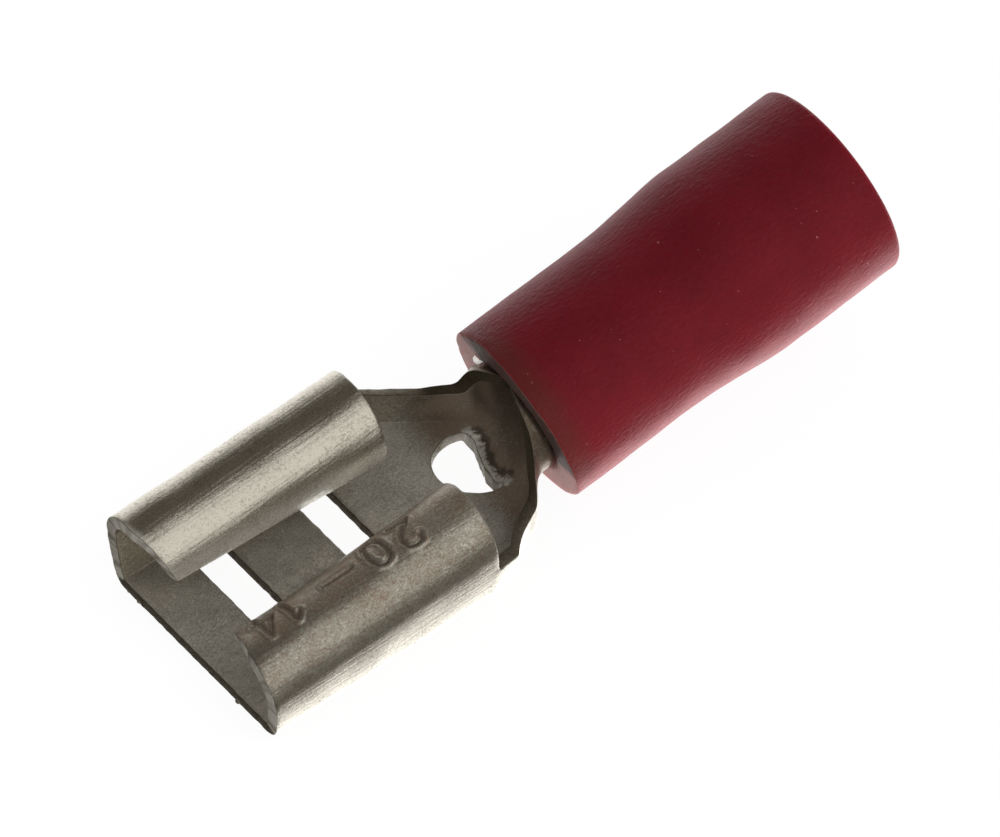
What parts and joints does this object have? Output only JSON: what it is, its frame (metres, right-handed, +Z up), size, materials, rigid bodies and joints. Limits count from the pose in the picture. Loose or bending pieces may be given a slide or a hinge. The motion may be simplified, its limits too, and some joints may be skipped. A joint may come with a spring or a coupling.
{
  "type": "female spade terminal",
  "caption": "Insulated female spade terminal: a folded tinned socket with rolled wings for a flat tab, a tapering neck and a crimp barrel in a red vinyl sleeve.",
  "frame": {"origin": "middle of the socket's mouth, on the floor that the tab slides along", "axes": "+X from the mouth to the wire entry, +Y across the socket, +Z up from the floor to the rolled wings"},
  "size_m": [0.0226, 0.0078, 0.0071],
  "materials": {
    "tinned_brass": "tin plated, satin with a fine mottle",
    "red_vinyl": "soft vinyl, slightly leathery, semi-gloss"
  },
  "bodies": {
    "root": {"terminal": "tinned_brass", "sleeve": "red_vinyl"}
  },
  "joints": []
}
